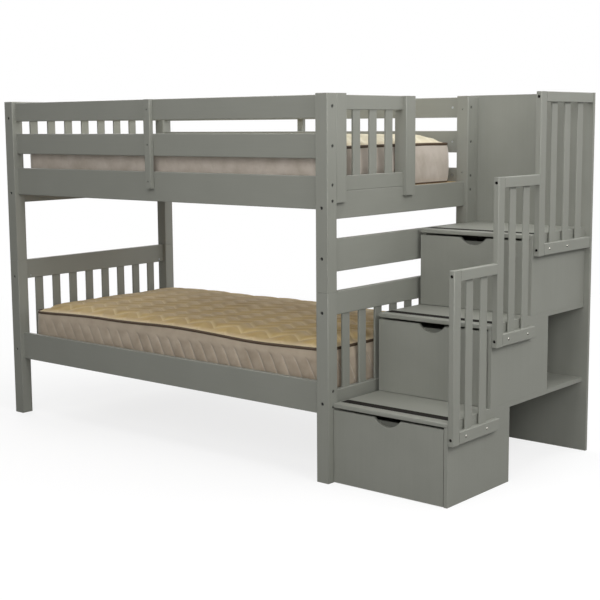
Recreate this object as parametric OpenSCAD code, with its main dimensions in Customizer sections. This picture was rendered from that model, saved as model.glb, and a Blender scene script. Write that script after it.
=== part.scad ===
// Bunk bed with a drawer staircase at its right-hand end
// Millimetres. Z points up and the bed stands on z = 0. X runs along the bed
// towards the stairs, Y from the front to the rear. The origin is the middle
// of the floor area. The modules place things from the front right corner of
// the bed itself: x = 0 is its right end and y = 0 its front.

/* [Bed frame] */
// Length of the bed over its posts
bed_l = 1995; // [1800:5:2200]
// Width of the bed over its posts
bed_w = 1059; // [1030:1:1300]
// Height of the upper posts' tops
bed_h = 1530; // [1500:5:1600]
// Height at which the upper posts stand on the lower ones
split_h = 760; // [730:5:790]
// Side of the square posts
post = 59; // [54:1:66]
// Rounding along the edges of posts and boards
edge_r = 3; // [1:0.5:4]
// Chamfer round the tops of the upper posts
post_chamfer = 2; // [1:0.5:4]

/* [Side rails and guard boards] */
// Thickness of the side rails and guard boards
rail_t = 22; // [18:1:24]
// How far their outer faces lie behind the posts' outer faces
rail_set = 22; // [16:1:26]
// Height of the side rails
rail_h = 129; // [115:1:140]
// Underside of the lower side rails
lower_rail_z = 273; // [240:1:300]
// Drop from the post tops to the underside of the upper side rails
upper_rail_drop = 447; // [440:1:460]
// Opening between an upper side rail and the board above it
guard_gap = 68; // [50:1:75]
// Height of the lower guard boards
low_board_h = 96; // [80:1:100]
// Height of the top guard boards
top_board_h = 89; // [70:1:95]
// Drop from the post tops to the top of the guards
guard_drop = 6; // [3:1:12]
// Width of the middle uprights that carry the guard boards
mid_w = 36; // [25:1:60]
// How far the middle uprights reach below the top of the side rail
mid_lap = 73; // [65:1:110]

/* [End panels] */
// Thickness of the end rails
end_rail_t = 25; // [20:1:30]
// Height of the end panels' rails
end_rail_h = 93; // [80:1:100]
// How far the upper end rails hang below the side rails
end_hang = 39; // [30:1:50]
// Height of the wide rail at the stair end
wide_rail_h = 108; // [95:1:115]
// Width of the slats in the end panels
end_slat_w = 47; // [30:1:60]
// Thickness of the slats in the end panels and in the end guard
end_slat_t = 10; // [8:1:18]
// Number of slats in an end panel
end_slats = 8; // [5:1:9]
// Share of a pitch by which a row of slats stands off at its ends
slat_spread = 0.66; // [0.5:0.02:1]

/* [End guard beside the stairs] */
// Where the far face of the end guard's upright stands, from the front
end_guard_w = 593; // [500:1:640]
// Width of the end guard's upright
guard_post_w = 68; // [50:1:75]
// Width of the end guard's stile against the front post
stile_w = 64; // [54:1:70]
// Height of the end guard's top rail
guard_top_h = 58; // [45:1:70]
// Height of the end guard's bottom rail
guard_low_h = 59; // [45:1:70]
// Width of the end guard's slats
guard_slat_w = 48; // [35:1:60]
// Number of slats in the end guard
guard_slats = 3; // [2:1:4]
// How far its slats lie behind its rails' outer faces
guard_slat_set = 3.5; // [1:0.5:7]
// How far the guard's stile laps the wide rail
stile_lap = 43; // [30:1:60]
// How far the guard's upright laps the wide rail
upright_lap = 37; // [25:1:60]

/* [Decks and mattresses] */
// Width of the cleats that carry the deck slats
cleat_w = 24; // [18:1:30]
// Height of the cleats
cleat_h = 38; // [25:1:44]
// Thickness of the deck slats
deck_t = 18; // [14:1:20]
// Width of a deck slat
deck_slat_w = 70; // [50:1:90]
// Number of slats in a deck
deck_slats = 13; // [9:1:15]
// How far the mattress rests below the top of the side rail
deck_drop = 62; // [62:1:70]
// Room between a mattress's tapes and the boards beside it
side_room = 16.5; // [10:0.5:40]
// Room between a mattress's tapes and the end rails
end_room = 25.5; // [25:0.5:60]
// Height of a mattress from its base to the upper tape
mattress_h = 180; // [120:1:190]
// Rise of the quilted top above the upper tape
crown = 27; // [10:1:35]
// Corner radius of a mattress
mattress_r = 62; // [40:1:100]
// How far a mattress's border swells out past its tapes
border_swell = 4; // [1:0.5:6]
// Thickness of the tape along the mattress edges
tape_t = 9; // [5:1:14]
// How far the lower mattress lies towards the stair end
mattress_shift = 18; // [-10:1:18]

/* [Staircase] */
// Width of the staircase over its side panels
stair_w = 532; // [420:1:700]
// Thickness of the side panels, dividers and drawer fronts
panel_t = 16; // [12:1:20]
// Thickness of the treads and shelves
tread_t = 18; // [15:1:25]
// Top of the first tread above the floor
first_top = 321; // [280:1:340]
// Height from one tread to the next
rise = 324; // [290:1:340]
// Depth of the third case, from its front to the rear panel
top_case_d = 451; // [445:1:500]
// How far the first drawer front lies behind the bed's front
stair_set = 33; // [30:1:60]
// Depth of a drawer case
case_d = 444; // [420:1:450]
// How far a tread's nose stands out over its drawer
nosing = 1; // [0:1:30]
// Rounding of the tread's nose
nose_r = 4; // [2:0.5:7]
// Gap between the posts' rear faces and the rear panels
rear_gap = 25; // [15:1:40]
// Thickness of the rear panels
rear_t = 16; // [12:1:22]
// Height at which the two rear panels meet
rear_joint = 866; // [700:1:900]
// How far the rear panels reach behind the bed
rear_lap = 42; // [25:1:54]
// How far the rear panels stand out past the stair guards
rear_lip = 2; // [0:1:10]

/* [Anti-slip strips] */
// Width of an anti-slip strip
strip_w = 48; // [20:1:60]
// Distance from a tread's nose to its strip
strip_back = 41; // [30:1:120]
// Distance from a tread's ends to its strip
strip_in = 6; // [4:1:40]
// Thickness of a strip, let into the tread
strip_t = 1.4; // [1:0.1:2]

/* [Stair guards] */
// Thickness of the stair guards
guard_t = 23; // [18:1:28]
// Width of a stair guard's upright
upright_w = 46; // [40:1:60]
// Overall height of a stair guard
stair_guard_h = 648; // [600:1:680]
// How far a stair guard hangs below its tread's top
guard_hang = 85; // [75:1:100]
// Height of a stair guard's top rail
guard_rail_top_h = 41; // [30:1:60]
// Height of a stair guard's bottom rail
guard_rail_low_h = 47; // [35:1:60]
// Width of a stair guard's slats
stair_slat_w = 47; // [35:1:56]
// Thickness of a stair guard's slats
stair_slat_t = 8; // [6:1:13]
// How far those slats stand in front of the guards' inner faces
stair_slat_back = 4; // [0:1:5]
// Setback of the third upright behind its step
third_set = 12; // [0:1:30]
// How far the first bottom rail runs on past the second step's front
low_rail_over = 29; // [0:1:60]
// How far the second bottom rail stops short of the third step's front
low_rail_short = 5; // [0:1:20]
// Share of a step at which the first screw of a bottom rail sits
screw_1_share = 0.307; // [0.25:0.01:0.4]
// Share of a step at which its second screw sits
screw_2_share = 0.8; // [0.6:0.01:0.85]

/* [Drawers] */
// Travel of a drawer
drawer_travel = 295; // [200:5:300]
// Length of a slide that stays in its channel when the drawer is out
slide_stay = 70; // [50:5:80]
// Gap below and beside a drawer front
front_gap = 2; // [1:0.5:3]
// Gap between a drawer front and the tread above it
top_gap = 8; // [2:0.5:12]
// Width of the finger notch
notch_w = 124; // [70:1:150]
// Depth of the finger notch
notch_d = 31; // [20:1:35]
// Thickness of the drawer box's boards
box_t = 12; // [9:1:15]
// Height of a drawer box
box_h = 255; // [180:1:258]
// Depth of a drawer box
box_d = 395; // [330:5:395]
// Height of a drawer box's underside above its front's lower edge
box_up = 26; // [15:1:32]
// Thickness of a drawer's bottom
bottom_t = 6; // [3:1:9]
// Height of a drawer runner's channel
channel_h = 40; // [30:1:60]
// Thickness of the runner's sheet metal
sheet_t = 1.5; // [1:0.1:2]

/* [Fasteners] */
// Diameter of a frame bolt's head
bolt_head_d = 13.5; // [8:0.5:15]
// Diameter of a frame bolt's shank
bolt_d = 6; // [5:0.5:7]
// Depth at which a bolt's head is sunk
bolt_sink = 4; // [1:0.5:5]
// Distance from a rail's end to its barrel nut
nut_in = 32; // [25:1:45]
// Diameter of a barrel nut
nut_d = 10; // [9:0.5:12]
// Half the distance between the two bolts of a side rail
bolt_spread = 31; // [20:1:42]
// Height of a top end rail's bolt above that rail's lower edge
top_bolt_up = 14; // [10:1:30]
// Height of the lower bolt in the stair end above its rail's lower edge
second_bolt_up = 56; // [30:1:90]
// Diameter of the dowels that join the posts
dowel_d = 12; // [8:0.5:16]
// Length of those dowels
dowel_l = 80; // [50:1:120]
// Diameter of a guard screw's head
screw_head_d = 11; // [8:0.5:12]
// Diameter of the hole its head is sunk in
screw_hole_d = 13; // [12.5:0.5:16]
// Depth of that hole
screw_sink = 3; // [2:0.5:6]
// Diameter of the screw holes in the middle uprights
mid_hole_d = 8; // [6:0.5:12]
// Chamfer round the joint of the lower and upper posts
joint_chamfer = 1.5; // [0.5:0.5:3]

/* [Hidden] */
$fn = 32;

// Colours
paint = [0.49, 0.50, 0.47];
bare_pine = [0.78, 0.66, 0.48];
black = [0.12, 0.12, 0.11];
steel = [0.62, 0.63, 0.64];
ticking = [0.66, 0.58, 0.46];
strip_grey = [0.13, 0.12, 0.10];

// Overall size, and the shift that puts the origin in the middle of the floor area
total_l = bed_l + stair_w + guard_t + rear_lip;
total_d = bed_w + rear_gap + rear_t;
shift_x = bed_l - total_l / 2;
shift_y = -total_d / 2;

// Clearances
clear = 0.5;
seat = 0.3;

// Where the rails and boards start along the bed and across it
inner_l = bed_l - 2 * post;
inner_w = bed_w - 2 * post;
upper_rail_z = bed_h - upper_rail_drop;
lower_rail_top = lower_rail_z + rail_h;
upper_rail_top = upper_rail_z + rail_h;
low_board_z = upper_rail_top + guard_gap;
top_board_z = bed_h - guard_drop - top_board_h;
lower_deck_z = lower_rail_top - deck_drop;
upper_deck_z = upper_rail_top - deck_drop;
upper_end_z = upper_rail_z - end_hang;
wide_top = upper_end_z + wide_rail_h;
second_rail_z = (split_h + upper_end_z - rail_h) / 2;
end_set = (post - end_rail_t) / 2;
slat_set = (post - end_slat_t) / 2;
mattress_w = bed_w - 2 * (rail_set + rail_t + side_room);
mattress_l = bed_l - 2 * (post - end_set + end_room);

// The end guard, between its stile and its upright
guard_y0 = post + stile_w;
guard_y1 = end_guard_w - guard_post_w;
guard_rail_z = bed_h - guard_drop - guard_top_h;

// Staircase: step k counts from 1; heights of its tread and its case
rear_y = bed_w + rear_gap;
run = (rear_y - stair_set - top_case_d) / 2;
function tread_z(k) = first_top + (k - 1) * rise - tread_t;
function case_z(k) = k == 1 ? 0 : tread_z(k - 1) + tread_t;
function step_y(k) = stair_set + (k - 1) * run;
function case_back(k) = k == 3 ? rear_y : step_y(k) + case_d;
function guard_y(k) = k == 4 ? rear_y : step_y(k) + (k == 3 ? third_set : 0);
function guard_z(k) = first_top + (k - 1) * rise - guard_hang;
panel_top = guard_z(3) + stair_guard_h;

// Drawers: front from x = front_gap, box between the runners
front_w = stair_w - panel_t - 2 * front_gap;
runner_w = 12.7;
box_x = panel_t + runner_w;
box_w = stair_w - 2 * box_x;
function front_z(k) = case_z(k) + front_gap;
function front_h(k) = tread_z(k) - case_z(k) - front_gap - top_gap;
front_r = 1;
function box_z(k) = front_z(k) + box_up;
function channel_z(k) = box_z(k) + (box_h - channel_h) / 2;
slide_h = channel_h - 2 * sheet_t - 2 * clear;
slide_w = runner_w - sheet_t - clear;
slide_l = drawer_travel + slide_stay;
slide_in = 10;
channel_in = 6;
channel_l = slide_l + 18;

// Fasteners
head_h = 2.4;
screw_head_h = 1.5;
screw_rim_h = 1.5;
screw_top_d = 0.6 * screw_head_d;
hex_d = 4;
hex_depth = 1.5;
bolt_past = 12;
hole_past = 2;
bolt_l = post + nut_in + bolt_past;
side_bolts_upper = [top_board_z + top_board_h / 2, low_board_z + low_board_h / 2,
    upper_rail_z + rail_h / 2 + bolt_spread, upper_rail_z + rail_h / 2 - bolt_spread];
upper_rail_bolts = [side_bolts_upper[2], side_bolts_upper[3]];
side_bolts_lower = [lower_rail_z + rail_h / 2 + bolt_spread, lower_rail_z + rail_h / 2 - bolt_spread];
end_bolts_lower = [split_h - end_rail_h + top_bolt_up, lower_rail_z + end_rail_h / 2];
end_bolts_left = [bed_h - end_rail_h + top_bolt_up, upper_end_z + end_rail_h / 2];
end_bolts_right = [upper_end_z + end_rail_h / 2, second_rail_z + second_bolt_up];
stile_bolts = [bed_h - post, wide_top + post / 2 + stile_lap / 4];
stile_bolt_in = 20;
mid_bolt_share = 0.6;
mid_bolts = [top_board_z + top_board_h / 2, low_board_z + low_board_h / 2,
    upper_rail_top - mid_lap * mid_bolt_share];

// Moves everything from the bed's corner to the origin
module in_place() translate([shift_x, shift_y, 0]) children();

// Makes a thing at the front and its mirror image at the rear
module front_and_rear() {
    children();
    translate([0, bed_w, 0]) mirror([0, 1, 0]) children();
}

// Copies a thing at the stair end to the far end of the bed
module at_end(left) {
    if (left) translate([-bed_l, 0, 0]) mirror([1, 0, 0]) children();
    else children();
}

// A rectangle with rounded corners
module soft_rectangle(a, b, r = edge_r) {
    translate([r, 0]) square([a - 2 * r, b]);
    translate([0, r]) square([a, b - 2 * r]);
    for (u = [r, a - r], v = [r, b - r]) translate([u, v]) circle(r = r);
}

// Boards with rounded long edges, by the way they run
module board_x(x, y, z) rotate([90, 0, 90]) linear_extrude(x) soft_rectangle(y, z);
module board_y(x, y, z) translate([0, y, 0]) rotate([90, 0, 0]) linear_extrude(y) soft_rectangle(x, z);
module board_z(x, y, z) linear_extrude(z) soft_rectangle(x, y);

// A frame bolt's hole through a post from its outer face, with the head's seat
module bolt_hole(depth) {
    translate([0, 0, -1]) cylinder(h = bolt_sink + head_h + 1, d = bolt_head_d + clear);
    cylinder(h = depth, d = bolt_d + clear);
}

// Bolt holes of a post in place at the right front corner, first those that
// run along the bed and then those that run across it
module post_holes(side_z, end_z) {
    for (z = side_z)
        translate([0, rail_set + rail_t / 2, z]) rotate([0, -90, 0]) bolt_hole(post + 1);
    for (z = end_z)
        translate([-post / 2, 0, z]) rotate([-90, 0, 0]) bolt_hole(post + 1);
}

// A chamfer round a post's end, cut on all four sides; way is 1 at a top and -1 at a bottom
module chamfer_end(z, c, way) {
    for (turn = [0:3])
        translate([-post / 2, post / 2, z]) rotate([0, 0, 90 * turn])
            translate([-post, post / 2, 0]) rotate([90, 0, 90]) linear_extrude(2 * post)
                polygon([[-c, 0], [c, 0], [c, -2 * c * way]]);
}

// Puts a thing made at the front at the rear when asked to
module place_depth(rear) {
    if (rear) translate([0, bed_w, 0]) mirror([0, 1, 0]) children();
    else children();
}

// Posts: the lower ones carry the dowels on which the upper ones stand
module lower_post(left, rear) {
    color(paint) in_place() at_end(left) place_depth(rear) difference() {
        translate([-post, 0, 0]) board_z(post, post, split_h);
        post_holes(side_bolts_lower, end_bolts_lower);
        chamfer_end(split_h, joint_chamfer, 1);
        translate([-post / 2, post / 2, split_h - dowel_l / 2])
            cylinder(h = dowel_l, d = dowel_d + clear);
    }
}

module upper_post(left, rear) {
    end_z = left ? end_bolts_left : end_bolts_right;
    color(paint) in_place() at_end(left) place_depth(rear) difference() {
        translate([-post, 0, split_h]) board_z(post, post, bed_h - split_h);
        post_holes(side_bolts_upper, end_z);
        chamfer_end(bed_h, post_chamfer, 1);
        chamfer_end(split_h, joint_chamfer, -1);
        if (!left) for (z = stile_bolts)
            translate([-post / 2, post + 1, z]) rotate([90, 0, 0])
                cylinder(h = stile_bolt_in + 1, d = bolt_d + clear);
        translate([-post / 2, post / 2, split_h - 1])
            cylinder(h = dowel_l / 2 + 1, d = dowel_d + clear);
    }
}

// A rail's bolt hole and the cross hole for its barrel nut, along +Z from the rail's end
module nut_hole() {
    translate([0, 0, -1])
        cylinder(h = nut_in + bolt_past + hole_past, d = bolt_d + clear);
    translate([0, 0, nut_in]) rotate([-90, 0, 0]) cylinder(h = rail_t, d = nut_d + clear);
}

// A long board between the posts, with the nut holes at both ends
module long_board(z, h, bolts) {
    difference() {
        translate([-bed_l + post, rail_set, z]) board_x(inner_l, rail_t, h);
        for (left = [false, true], bolt_z = bolts) at_end(left)
            translate([-post, rail_set + rail_t / 2, bolt_z]) rotate([0, -90, 0]) nut_hole();
    }
}

// A rail across an end of the bed, with the nut holes at both ends
module end_rail(z, h, bolt_z) {
    difference() {
        translate([-post + end_set, post, z]) board_y(end_rail_t, inner_w, h);
        front_and_rear() translate([-post / 2, post, bolt_z]) rotate([-90, 0, 0])
            rotate([0, 0, 90]) nut_hole();
    }
}

// Where the slats of a row start: evenly spread, standing off a little more at the ends
function slat_starts(room, count, w) = let (pitch = room / (count + slat_spread))
    [for (i = [0:count - 1]) (room - w) / 2 + (i - (count - 1) / 2) * pitch];

// Slats between two end rails
module end_slat_row(z0, z1) {
    for (start = slat_starts(inner_w, end_slats, end_slat_w))
        translate([-post + slat_set, post + start, z0]) board_z(end_slat_t, end_slat_w, z1 - z0);
}

module lower_end_rails(left) {
    color(paint) in_place() at_end(left) {
        end_rail(split_h - end_rail_h, end_rail_h, end_bolts_lower[0]);
        end_rail(lower_rail_z, end_rail_h, end_bolts_lower[1]);
    }
}

module lower_end_slats(left) {
    color(paint) in_place() at_end(left)
        end_slat_row(lower_rail_z + end_rail_h, split_h - end_rail_h);
}

module upper_left_end_rails() {
    color(paint) in_place() at_end(true) {
        end_rail(bed_h - end_rail_h, end_rail_h, end_bolts_left[0]);
        end_rail(upper_end_z, end_rail_h, end_bolts_left[1]);
    }
}

module upper_left_end_slats() {
    color(paint) in_place() at_end(true)
        end_slat_row(upper_end_z + end_rail_h, bed_h - end_rail_h);
}

module stair_end_wide_rail() {
    color(paint) in_place() end_rail(upper_end_z, wide_rail_h, end_bolts_right[0]);
}

module stair_end_second_rail() {
    color(paint) in_place() end_rail(second_rail_z, rail_h, end_bolts_right[1]);
}

// End guard beside the stairs: a stile against the front post, an upright
// beside the way in, and both notched over the face of the wide rail
module lapped_upright(y, w, lap, top) {
    difference() {
        translate([-post, y, wide_top - lap]) board_z(post, w, top - wide_top + lap);
        translate([-post - 1, y - 1, wide_top - lap - 1])
            cube([post - end_set + 1, w + 2, lap + 1]);
    }
}

module end_guard_stile() {
    color(paint) in_place() difference() {
        lapped_upright(post, stile_w, stile_lap, bed_h);
        for (z = stile_bolts)
            translate([-post / 2, guard_y0, z]) rotate([90, 0, 0]) bolt_hole(stile_w + 1);
    }
}

module end_guard_upright() {
    color(paint) in_place()
        lapped_upright(end_guard_w - guard_post_w, guard_post_w, upright_lap, bed_h - guard_drop);
}

module end_guard_rails() {
    color(paint) in_place() {
        translate([-post + end_set, guard_y0, guard_rail_z])
            board_y(end_rail_t, guard_y1 - guard_y0, guard_top_h);
        translate([-post + end_set, guard_y0, wide_top])
            board_y(end_rail_t, guard_y1 - guard_y0, guard_low_h);
    }
}

module end_guard_slats() {
    z = wide_top + guard_low_h;
    color(paint) in_place() for (start = slat_starts(guard_y1 - guard_y0, guard_slats, guard_slat_w))
        translate([-end_set - guard_slat_set - end_slat_t, guard_y0 + start, z])
            board_z(end_slat_t, guard_slat_w, guard_rail_z - z);
}

// Side rails and guard boards
module side_rail(z, bolts, rear) {
    color(paint) in_place() place_depth(rear) long_board(z, rail_h, bolts);
}

module guard_boards(rear) {
    color(paint) in_place() place_depth(rear) {
        long_board(low_board_z, low_board_h, [side_bolts_upper[1]]);
        long_board(top_board_z, top_board_h, [side_bolts_upper[0]]);
    }
}

// The middle uprights carry the boards, outside them, front and rear
module middle_uprights() {
    z = upper_rail_top - mid_lap;
    color(paint) in_place() front_and_rear() difference() {
        translate([-bed_l / 2 - mid_w / 2, 0, z]) board_z(mid_w, rail_set, bed_h - guard_drop - z);
        for (bolt_z = mid_bolts)
            translate([-bed_l / 2, -1, bolt_z]) rotate([-90, 0, 0])
                cylinder(h = bolt_sink + head_h + 1, d = mid_hole_d);
    }
}

// Cleats along the side rails and the slats that lie on them
module deck_cleats() {
    color(bare_pine) in_place() for (z = [lower_deck_z, upper_deck_z])
        front_and_rear() translate([-bed_l + post + seat, rail_set + rail_t, z - deck_t - cleat_h])
            board_x(inner_l - 2 * seat, cleat_w, cleat_h);
}

module deck(z) {
    reach = inner_l - 2 * clear;
    pitch = (reach - deck_slat_w) / (deck_slats - 1);
    y = rail_set + rail_t + clear;
    for (i = [0:deck_slats - 1])
        translate([-bed_l + post + clear + i * pitch, y, z - deck_t])
            board_y(deck_slat_w, bed_w - 2 * y, deck_t);
}

module deck_slats_all() {
    color(bare_pine) in_place() {
        deck(lower_deck_z);
        deck(upper_deck_z);
    }
}

// Mattress: rings of one rounded outline, each set in and raised by the
// section's rule, closed at the base and joined at the middle of the top
corner_steps = 7;
crown_rings = 9;
side_rings = 8;
least_r = 4;
seam_in = tape_t * 0.35;
crown_reach = mattress_w * 0.3;
crown_bend = 0.7;

function outline(inset) = let (
    r = max(mattress_r - inset, least_r),
    a = mattress_l / 2 - inset - r,
    b = mattress_w / 2 - inset - r,
    corners = [[a, b], [-a, b], [-a, -b], [a, -b]]
) [for (q = [0:3], i = [0:corner_steps]) let (turn = 90 * (q + i / corner_steps))
    corners[q] + r * [cos(turn), sin(turn)]];

// The border between the two tapes swells out, most at its middle
side_sections = [for (i = [0:side_rings]) let (t = i / side_rings)
    [seam_in - (seam_in + border_swell) * sin(180 * t), tape_t + (mattress_h - 2 * tape_t) * t]];
// The top rises from the tape to the crown in a smooth curve
crown_sections = [for (i = [1:crown_rings]) let (t = i / crown_rings)
    [seam_in + crown_reach * t * t, mattress_h + crown * sin(90 * pow(t, crown_bend))]];
mattress_sections = concat(
    [[tape_t * 0.8, 0], [0, tape_t * 0.3], [0, tape_t * 0.7]],
    side_sections,
    [[0, mattress_h - tape_t * 0.7], [0, mattress_h - tape_t * 0.3]],
    crown_sections
);
ring_points = 4 * (corner_steps + 1);

module mattress(x) {
    n = ring_points;
    m = len(mattress_sections);
    points = [for (s = mattress_sections) for (p = outline(s[0])) [p[0], p[1], s[1]]];
    sides = [for (j = [0:m - 2], i = [0:n - 1]) let (a = j * n + i, b = j * n + (i + 1) % n)
        each [[a, a + n, b + n], [a, b + n, b]]];
    base = [for (i = [1:n - 2]) [0, i, i + 1]];
    top = [for (i = [1:n - 2]) [(m - 1) * n, (m - 1) * n + i + 1, (m - 1) * n + i]];
    translate([-bed_l / 2 + x, bed_w / 2, 0]) polyhedron(points, concat(sides, base, top));
}

module lower_mattress() {
    color(ticking) in_place() translate([0, 0, lower_deck_z + seat]) mattress(mattress_shift);
}

module upper_mattress() {
    color(ticking) in_place() translate([0, 0, upper_deck_z + seat]) mattress(0);
}

// Treads: one board each, which runs back to the rear panel as a shelf, with
// a rounded nose and a shallow groove for its anti-slip strip
module strip_place(k) translate([strip_in, step_y(k) - nosing + strip_back, tread_z(k) + tread_t - strip_t])
    children();

module tread(k) {
    y = step_y(k) - nosing;
    depth = rear_y - y;
    color(paint) in_place() difference() {
        translate([seat, y, tread_z(k)]) rotate([90, 0, 90]) linear_extrude(stair_w - seat) {
            translate([nose_r, 0]) square([depth - nose_r, tread_t]);
            translate([0, nose_r]) square([nose_r + 1, tread_t - 2 * nose_r]);
            for (v = [nose_r, tread_t - nose_r]) translate([nose_r, v]) circle(r = nose_r);
        }
        strip_place(k) cube([stair_w - 2 * strip_in, strip_w, strip_t + 1]);
    }
}

module anti_slip_strips() {
    color(strip_grey) in_place() for (k = [1:3])
        strip_place(k) translate([seat, seat, 0])
            cube([stair_w - 2 * strip_in - 2 * seat, strip_w - 2 * seat, strip_t + seat]);
}

// Case panels: the left ones stand behind the drawer fronts, the right ones beside them
module stair_left_panels() {
    color(paint) in_place() for (k = [1:3]) {
        y = step_y(k) + panel_t + front_gap;
        translate([seat, y, case_z(k)]) cube([panel_t, rear_y - y, tread_z(k) - case_z(k)]);
    }
}

module stair_right_panel(k) {
    color(paint) in_place() translate([stair_w - panel_t, step_y(k), case_z(k)])
        cube([panel_t, case_back(k) - step_y(k), tread_z(k) - case_z(k)]);
}

module case_dividers() {
    color(paint) in_place() for (k = [1:2])
        translate([seat + panel_t, case_back(k) - panel_t, case_z(k)])
            cube([stair_w - 2 * panel_t - seat, panel_t, tread_z(k) - case_z(k)]);
}

// Rear panels and the batten that ties them to the rear post
module rear_panel(z0, z1) {
    color(paint) in_place() translate([-rear_lap, rear_y, z0])
        cube([rear_lap + stair_w + guard_t + rear_lip, rear_t, z1 - z0]);
}

module rear_batten() {
    color(paint) in_place() translate([-rear_lap, bed_w, 0]) cube([rear_lap, rear_gap, bed_h - guard_drop]);
}

// Stair guards: an upright on each case, rails to the next upright and slats between them
module stair_guard_uprights() {
    color(paint) in_place() for (k = [1:3]) difference() {
        translate([stair_w, guard_y(k), guard_z(k)]) board_z(guard_t, upright_w, stair_guard_h);
        for (z = guard_bolt_z(k))
            translate([stair_w + guard_t / 2, guard_y(k) - 1, z]) rotate([-90, 0, 0])
                cylinder(h = screw_sink + 1, d = screw_hole_d);
    }
}

function guard_bolt_z(k) = [guard_z(k) + guard_rail_low_h / 2,
    guard_z(k) + stair_guard_h - guard_rail_top_h / 2];
function guard_y_start(k) = guard_y(k) + upright_w;
low_rail_ends = [step_y(2) + low_rail_over, step_y(3) - low_rail_short, rear_y];

module stair_guard_rails() {
    color(paint) in_place() for (k = [1:3]) {
        y = guard_y_start(k);
        top_z = guard_z(k) + stair_guard_h - guard_rail_top_h;
        translate([stair_w, y, top_z]) board_y(guard_t, guard_y(k + 1) - y, guard_rail_top_h);
        difference() {
            translate([stair_w, y, guard_z(k)]) board_y(guard_t, low_rail_ends[k - 1] - y, guard_rail_low_h);
            for (screw_y = guard_screw_y(k))
                translate([stair_w + guard_t - screw_sink, screw_y, guard_z(k) + guard_rail_low_h / 2])
                    rotate([0, 90, 0]) cylinder(h = screw_sink + 1, d = screw_hole_d);
        }
    }
}

function guard_screw_y(k) = [guard_y(k) + screw_1_share * run, guard_y(k) + screw_2_share * run];
guard_slat_counts = [2, 2, 3];

module stair_guard_slats() {
    color(paint) in_place() for (k = [1:3]) {
        count = guard_slat_counts[k - 1];
        y = guard_y_start(k);
        gap = (guard_y(k + 1) - y - count * stair_slat_w) / (count + 1);
        z = guard_z(k) + guard_rail_low_h;
        for (i = [0:count - 1])
            translate([stair_w + stair_slat_back, y + gap + i * (gap + stair_slat_w), z])
                board_z(stair_slat_t, stair_slat_w, stair_guard_h - guard_rail_low_h - guard_rail_top_h);
    }
}

// Drawer front with the finger notch: a segment of a circle cut into its top edge
module drawer_front(k) {
    radius = (notch_w * notch_w / 4 + notch_d * notch_d) / (2 * notch_d);
    h = front_h(k);
    color(paint) in_place() translate([front_gap, step_y(k) + panel_t, front_z(k)]) rotate([90, 0, 0])
        linear_extrude(panel_t) difference() {
            soft_rectangle(front_w, h, front_r);
            translate([front_w / 2, h - notch_d + radius]) circle(r = radius, $fn = 64);
        }
}

// Drawer box: four sides with the bottom let into them, behind the drawer front
module drawer_box(k) {
    y = step_y(k) + panel_t;
    color(paint) in_place() translate([box_x, y, box_z(k)]) difference() {
        cube([box_w, box_d, box_h]);
        translate([box_t, box_t, box_t + bottom_t])
            cube([box_w - 2 * box_t, box_d - 2 * box_t, box_h]);
        translate([box_t, box_t, -1]) cube([box_w - 2 * box_t, box_d - 2 * box_t, box_t + 1]);
    }
}

// Runners: a C channel on each case side and a slide on each side of the box
module runner_pair() {
    children();
    translate([stair_w, 0, 0]) mirror([1, 0, 0]) children();
}

module drawer_channels() {
    color(steel) in_place() for (k = [1:3]) runner_pair()
        translate([panel_t + seat, step_y(k) + panel_t + channel_in, channel_z(k)]) difference() {
            cube([runner_w - clear - seat, channel_l, channel_h]);
            translate([sheet_t, -1, sheet_t])
                cube([runner_w, channel_l + 2, channel_h - 2 * sheet_t]);
        }
}

module drawer_slides(k) {
    color(steel) in_place() runner_pair()
        translate([box_x - slide_w, step_y(k) + panel_t + slide_in, channel_z(k) + sheet_t + clear])
            difference() {
                cube([slide_w, slide_l, slide_h]);
                translate([-1, -1, sheet_t])
                    cube([slide_w - sheet_t + 1, slide_l + 2, slide_h - 2 * sheet_t]);
            }
}

// A frame bolt along +Z with its head sunk below z = 0
module frame_bolt() {
    difference() {
        translate([0, 0, bolt_sink]) cylinder(h = head_h, d = bolt_head_d);
        translate([0, 0, bolt_sink - 1]) cylinder(h = hex_depth + 1, d = hex_d, $fn = 6);
    }
    translate([0, 0, bolt_sink + head_h]) cylinder(h = bolt_l - bolt_sink - head_h, d = bolt_d);
}

// A barrel nut with its cross hole, at the same place as in nut_hole
module barrel_nut() {
    difference() {
        translate([0, 0, nut_in]) rotate([-90, 0, 0]) cylinder(h = rail_t / 2, d = nut_d);
        translate([0, 0, nut_in - nut_d]) cylinder(h = 2 * nut_d, d = bolt_d + clear / 5);
    }
}

// Each bolt of the four corners; the children stand at the post's outer face
module side_bolt_places() {
    for (left = [false, true]) at_end(left) front_and_rear()
        for (z = concat(side_bolts_upper, side_bolts_lower))
            translate([0, rail_set + rail_t / 2, z]) rotate([0, -90, 0]) children();
}

module end_bolt_places() {
    for (left = [false, true]) at_end(left) front_and_rear()
        for (z = concat(left ? end_bolts_left : end_bolts_right, end_bolts_lower))
            translate([-post / 2, 0, z]) rotate([-90, 0, 0]) children();
}

module frame_bolts() {
    color(black) in_place() {
        side_bolt_places() frame_bolt();
        end_bolt_places() frame_bolt();
        for (z = stile_bolts)
            translate([-post / 2, guard_y0, z]) rotate([90, 0, 0]) stile_bolt();
        front_and_rear() for (z = mid_bolts)
            translate([-bed_l / 2, bolt_sink + head_h, z]) rotate([90, 0, 0])
                cylinder(h = head_h, d = mid_hole_d - clear);
    }
}

// The stile's bolts reach a little way into the front post
module stile_bolt() {
    translate([0, 0, bolt_sink]) cylinder(h = head_h, d = bolt_head_d);
    translate([0, 0, bolt_sink + head_h])
        cylinder(h = stile_w + stile_bolt_in - hole_past - bolt_sink - head_h, d = bolt_d);
}

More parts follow.
